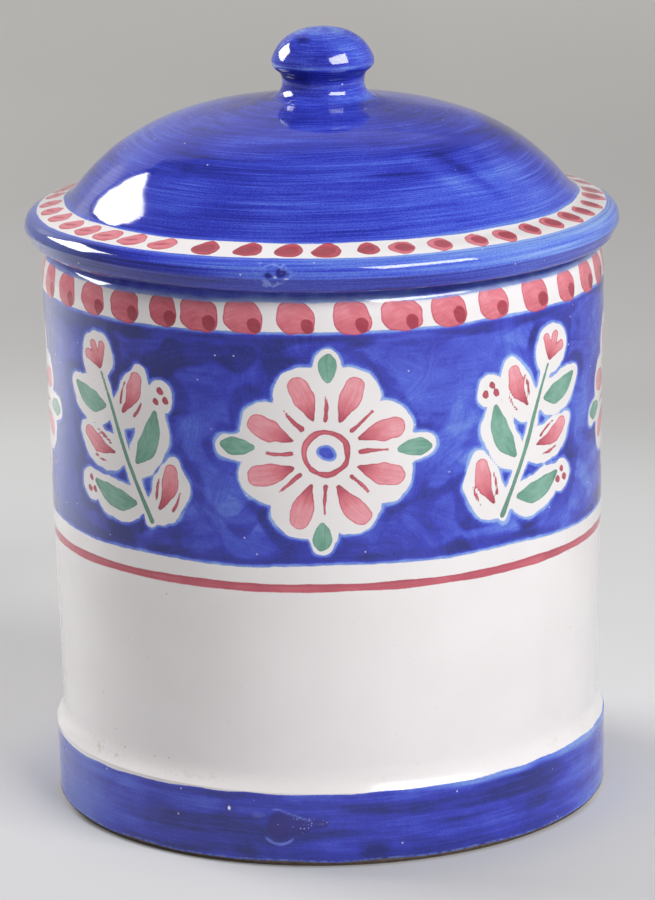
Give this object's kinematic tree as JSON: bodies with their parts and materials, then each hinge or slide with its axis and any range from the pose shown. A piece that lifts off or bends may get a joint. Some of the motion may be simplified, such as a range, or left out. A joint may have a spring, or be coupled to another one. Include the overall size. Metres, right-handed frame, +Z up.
{
  "type": "biscuit jar",
  "caption": "Straight-sided round ceramic biscuit jar with a banded foot and a lift-off domed lid that has a rolled flange, a locating ring underneath and a round knob.",
  "frame": {"origin": "centre of the foot, on the surface the jar stands on, on the jar's axis", "axes": "+Z up along the jar's axis, -Y towards the front of the painting, +X to the viewer's right"},
  "size_m": [0.1926, 0.1926, 0.2516],
  "materials": {
    "painted_wall": "glossy white tin glaze with cobalt blue, rose and green painting",
    "painted_foot": "glossy cobalt blue wash over white glaze, bare clay where it stands",
    "lid_glaze": "glossy cobalt blue brushed in rings over white glaze",
    "knob_glaze": "glossy cobalt blue",
    "ring_glaze": "white glaze thinned on a hand-cut edge"
  },
  "bodies": {
    "jar": {"jar_wall": "painted_wall", "jar_base": "painted_foot"},
    "lid": {"lid_dome": "lid_glaze", "lid_locating_ring": "ring_glaze", "lid_knob": "knob_glaze"}
  },
  "joints": [
    {"name": "lid_lift", "type": "slide", "parent": "jar", "child": "lid", "axis": [0, 0, 1], "range_m": [0, 0.16]}
  ]
}
